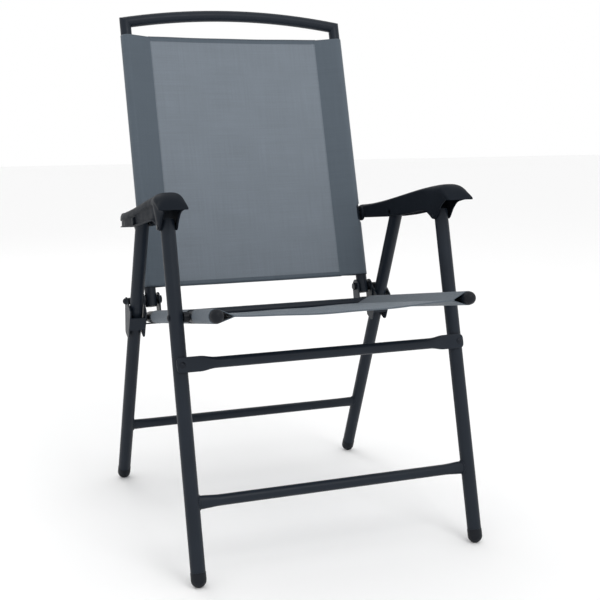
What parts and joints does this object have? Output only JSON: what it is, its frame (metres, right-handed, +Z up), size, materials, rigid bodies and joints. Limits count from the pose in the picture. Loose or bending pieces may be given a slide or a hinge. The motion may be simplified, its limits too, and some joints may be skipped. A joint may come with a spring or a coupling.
{
  "type": "folding chair",
  "caption": "Folding armchair with a steel tube frame, fabric sling seat and back, and moulded armrests linked to the legs.",
  "frame": {"origin": "on the floor, under the centre of the chair's bounding box, chair unfolded", "axes": "+Z up, -Y the way a sitter faces, +X to the right seen from the front; node names call -X left"},
  "size_m": [0.574, 0.6302, 0.9623],
  "materials": {
    "frame_steel": "satin powder coat, very dark blue-grey",
    "sling_fabric": "matt coated mesh weave, blue-grey",
    "armrest_plastic": "satin moulded, near black",
    "cap_plastic": "satin moulded, near black",
    "hardware": "black coated steel"
  },
  "bodies": {
    "front_frame": {"front_leg_left": "frame_steel", "front_leg_right": "frame_steel", "front_lower_bar": "frame_steel", "knee_brace": "frame_steel", "brace_rivets": "hardware", "front_foot_left": "cap_plastic", "front_foot_right": "cap_plastic", "seat_pivot_bolts": "hardware", "seat_pivot_spacers": "cap_plastic", "arm_front_pins": "hardware"},
    "seat": {"seat_tube_left": "frame_steel", "seat_tube_right": "frame_steel", "seat_rear_bar": "frame_steel", "seat_front_caps": "cap_plastic", "seat_rear_caps": "cap_plastic", "seat_sling": "sling_fabric", "leg_guide_left": "frame_steel", "leg_guide_right": "frame_steel", "hinge_clevis_left": "frame_steel", "hinge_clevis_right": "frame_steel", "clevis_rivets": "hardware", "clevis_washers": "cap_plastic", "hinge_bolt_left": "hardware", "hinge_bolt_right": "hardware", "hinge_nuts": "hardware", "guide_roller_left": "cap_plastic", "guide_roller_right": "cap_plastic"},
    "back": {"back_tube_left": "frame_steel", "back_tube_right": "frame_steel", "back_top_rail": "frame_steel", "back_tube_plugs": "cap_plastic", "back_sling": "sling_fabric", "arm_rear_pins": "hardware", "arm_rear_spacers": "cap_plastic"},
    "armrest_left": {"armrest_left": "armrest_plastic", "arm_leg_pin_left": "hardware"},
    "armrest_right": {"armrest_right": "armrest_plastic", "arm_leg_pin_right": "hardware"},
    "rear_frame": {"rear_leg_left": "frame_steel", "rear_leg_right": "frame_steel", "rear_lower_bar": "frame_steel", "rear_foot_left": "cap_plastic", "rear_foot_right": "cap_plastic"}
  },
  "joints": [
    {"name": "seat_fold", "type": "hinge", "parent": "front_frame", "child": "seat", "pos_m": [0, -0.17762, 0.426], "axis": [-1, 0, 0], "range_deg": [0, 84]},
    {"name": "armrest_left_turn", "type": "hinge", "parent": "front_frame", "child": "armrest_left", "pos_m": [0, -0.13512, 0.57277], "axis": [-1, 0, 0], "range_deg": [0, 84]},
    {"name": "armrest_right_turn", "type": "hinge", "parent": "front_frame", "child": "armrest_right", "pos_m": [0, -0.13512, 0.57277], "axis": [-1, 0, 0], "range_deg": [0, 84]},
    {"name": "back_fold", "type": "hinge", "parent": "seat", "child": "back", "pos_m": [0, 0.13602, 0.4017], "axis": [-1, 0, 0], "range_deg": [-84, 0]},
    {"name": "rear_frame_fold", "type": "hinge", "parent": "armrest_left", "child": "rear_frame", "pos_m": [0, 0.04675, 0.564], "axis": [-1, 0, 0], "range_deg": [-48, 0]}
  ],
  "couplings": [
    {"joint": "armrest_left_turn", "follows": "seat_fold", "ratio": 1},
    {"joint": "armrest_right_turn", "follows": "seat_fold", "ratio": 1},
    {"joint": "back_fold", "follows": "seat_fold", "ratio": -1},
    {"joint": "rear_frame_fold", "follows": "seat_fold", "ratio": -0.57}
  ]
}
